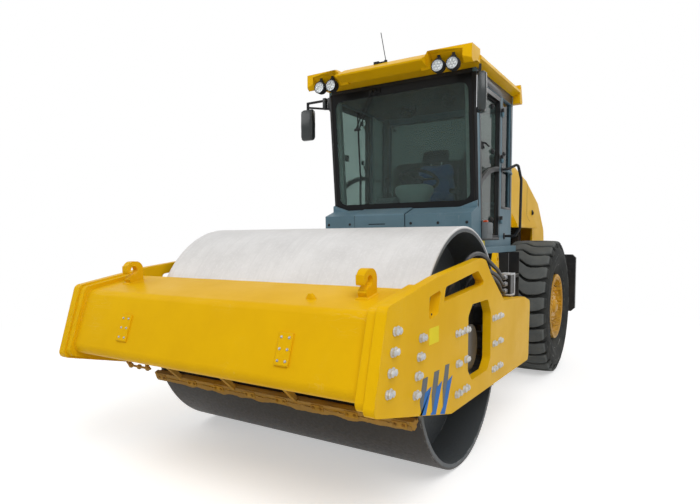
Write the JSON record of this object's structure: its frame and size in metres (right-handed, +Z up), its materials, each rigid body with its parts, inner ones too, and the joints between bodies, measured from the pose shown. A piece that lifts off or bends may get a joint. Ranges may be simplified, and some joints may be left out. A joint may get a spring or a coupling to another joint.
{
  "type": "single-drum road roller",
  "caption": "Single-drum road roller with a smooth steel drum in an articulated front frame, a glazed cab, a tilting rear hood and two rubber drive wheels.",
  "frame": {"origin": "on the ground, in the middle of the machine's length and width", "axes": "+X forward to the drum, +Y to the machine's left, +Z up"},
  "size_m": [6.2196, 2.41, 3.3728],
  "materials": {
    "yellow_paint": "glossy yellow paint",
    "zinc_steel": "bright zinc plating",
    "black_paint": "satin black paint",
    "worn_yellow": "yellow paint worn to rust at the edges",
    "drum_steel": "ground steel, pale grey",
    "engine_grey": "plain painted casting",
    "tyre_rubber": "dusty black rubber",
    "chrome_rod": "hard chrome",
    "cab_glass": "green tinted safety glass",
    "grey_paint": "satin blue-grey paint",
    "lamp": "clear lens over LED reflectors",
    "black_plastic": "moulded black plastic",
    "seat_fabric": "blue seat cover",
    "grey_plastic": "grey moulded dash",
    "hose_rubber": "black hydraulic hose"
  },
  "bodies": {
    "root": {"rear_frame": "yellow_paint", "engine": "engine_grey", "radiator": "black_paint", "rear_axle": "yellow_paint", "counterweight": "yellow_paint", "mud_plates": "black_paint", "steps": "black_paint", "fuel_tank": "black_paint", "hydraulic_tank": "black_paint", "cab_frame": "black_paint", "windshield": "cab_glass", "rear_window": "cab_glass", "side_window_left": "cab_glass", "side_window_right": "cab_glass", "cab_platform": "grey_paint", "front_cowl": "grey_paint", "cab_roof": "yellow_paint", "roof_lamps": "lamp", "antenna": "black_plastic", "mirrors": "black_plastic", "handrails": "black_paint", "seat_base": "black_plastic", "seat_cushion": "seat_fabric", "seat_back": "seat_fabric", "dash_console": "grey_plastic", "steering_wheel": "black_plastic", "side_console": "grey_plastic"},
    "link": {"centre_link": "yellow_paint"},
    "front_frame": {"front_beam": "yellow_paint", "side_plate_left": "yellow_paint", "side_plate_right": "yellow_paint", "rear_cross_beam": "yellow_paint", "lifting_hooks": "yellow_paint", "frame_bolts": "zinc_steel", "drum_mounts": "black_paint", "front_scraper": "worn_yellow", "rear_scraper": "worn_yellow", "drum_hose_left_upper": "hose_rubber", "drum_hose_left_middle": "hose_rubber", "drum_hose_left_lower": "hose_rubber", "drum_hose_right_upper": "hose_rubber", "drum_hose_right_middle": "hose_rubber", "drum_hose_right_lower": "hose_rubber", "hose_clamps": "zinc_steel"},
    "drum_body": {"drum": "drum_steel"},
    "wheel_left": {"tyre_left": "tyre_rubber", "rim_left": "yellow_paint"},
    "wheel_right": {"tyre_right": "tyre_rubber", "rim_right": "yellow_paint"},
    "barrel_left": {"steer_barrel_left": "black_paint"},
    "barrel_right": {"steer_barrel_right": "black_paint"},
    "rod_left": {"steer_rod_left": "chrome_rod"},
    "rod_right": {"steer_rod_right": "chrome_rod"},
    "cab_door_left": {"door_left": "grey_paint", "door_glass_left": "cab_glass"},
    "cab_door_right": {"door_right": "grey_paint", "door_glass_right": "cab_glass"},
    "engine_hood": {"hood": "yellow_paint"}
  },
  "joints": [
    {"name": "steer", "type": "hinge", "parent": "root", "child": "link", "pos_m": [-0.00977, 0, 0.8], "axis": [0, 0, 1], "range_deg": [-35, 35]},
    {"name": "oscillate", "type": "hinge", "parent": "link", "child": "front_frame", "pos_m": [0.70023, 0, 0.8], "axis": [1, 0, 0], "range_deg": [-12, 12]},
    {"name": "drum_spin", "type": "hinge", "parent": "front_frame", "child": "drum_body", "pos_m": [1.58023, 0, 0.8], "axis": [0, 1, 0], "continuous": true},
    {"name": "wheel_spin_left", "type": "hinge", "parent": "root", "child": "wheel_left", "pos_m": [-1.59977, 0.858, 0.745], "axis": [0, 1, 0], "continuous": true},
    {"name": "wheel_spin_right", "type": "hinge", "parent": "root", "child": "wheel_right", "pos_m": [-1.59977, -0.858, 0.745], "axis": [0, 1, 0], "continuous": true},
    {"name": "door_swing_left", "type": "hinge", "parent": "root", "child": "cab_door_left", "pos_m": [-0.46377, 0.756, 2.3], "axis": [0, 0, 1], "range_deg": [0, 85]},
    {"name": "door_swing_right", "type": "hinge", "parent": "root", "child": "cab_door_right", "pos_m": [-0.46377, -0.756, 2.3], "axis": [0, 0, -1], "range_deg": [0, 85]},
    {"name": "hood_tilt", "type": "hinge", "parent": "root", "child": "engine_hood", "pos_m": [-2.99777, 0, 1.408], "axis": [0, -1, 0], "range_deg": [0, 50]},
    {"name": "barrel_swing_left", "type": "hinge", "parent": "root", "child": "barrel_left", "pos_m": [-0.66977, 0.54, 0.8], "axis": [0, 0, 1], "range_deg": [-4, 4]},
    {"name": "barrel_swing_right", "type": "hinge", "parent": "root", "child": "barrel_right", "pos_m": [-0.66977, -0.54, 0.8], "axis": [0, 0, 1], "range_deg": [-4, 4]},
    {"name": "rod_slide_left", "type": "slide", "parent": "barrel_left", "child": "rod_left", "axis": [0.9615, -0.2747, 0], "range_m": [-0.2, 0.2]},
    {"name": "rod_slide_right", "type": "slide", "parent": "barrel_right", "child": "rod_right", "axis": [0.9615, 0.2747, 0], "range_m": [-0.2, 0.2]}
  ],
  "couplings": [
    {"joint": "barrel_swing_left", "follows": "steer", "ratio": 0.1},
    {"joint": "barrel_swing_right", "follows": "steer", "ratio": 0.1},
    {"joint": "rod_slide_left", "follows": "steer", "m_per_rad": -0.325},
    {"joint": "rod_slide_right", "follows": "steer", "m_per_rad": 0.325}
  ]
}
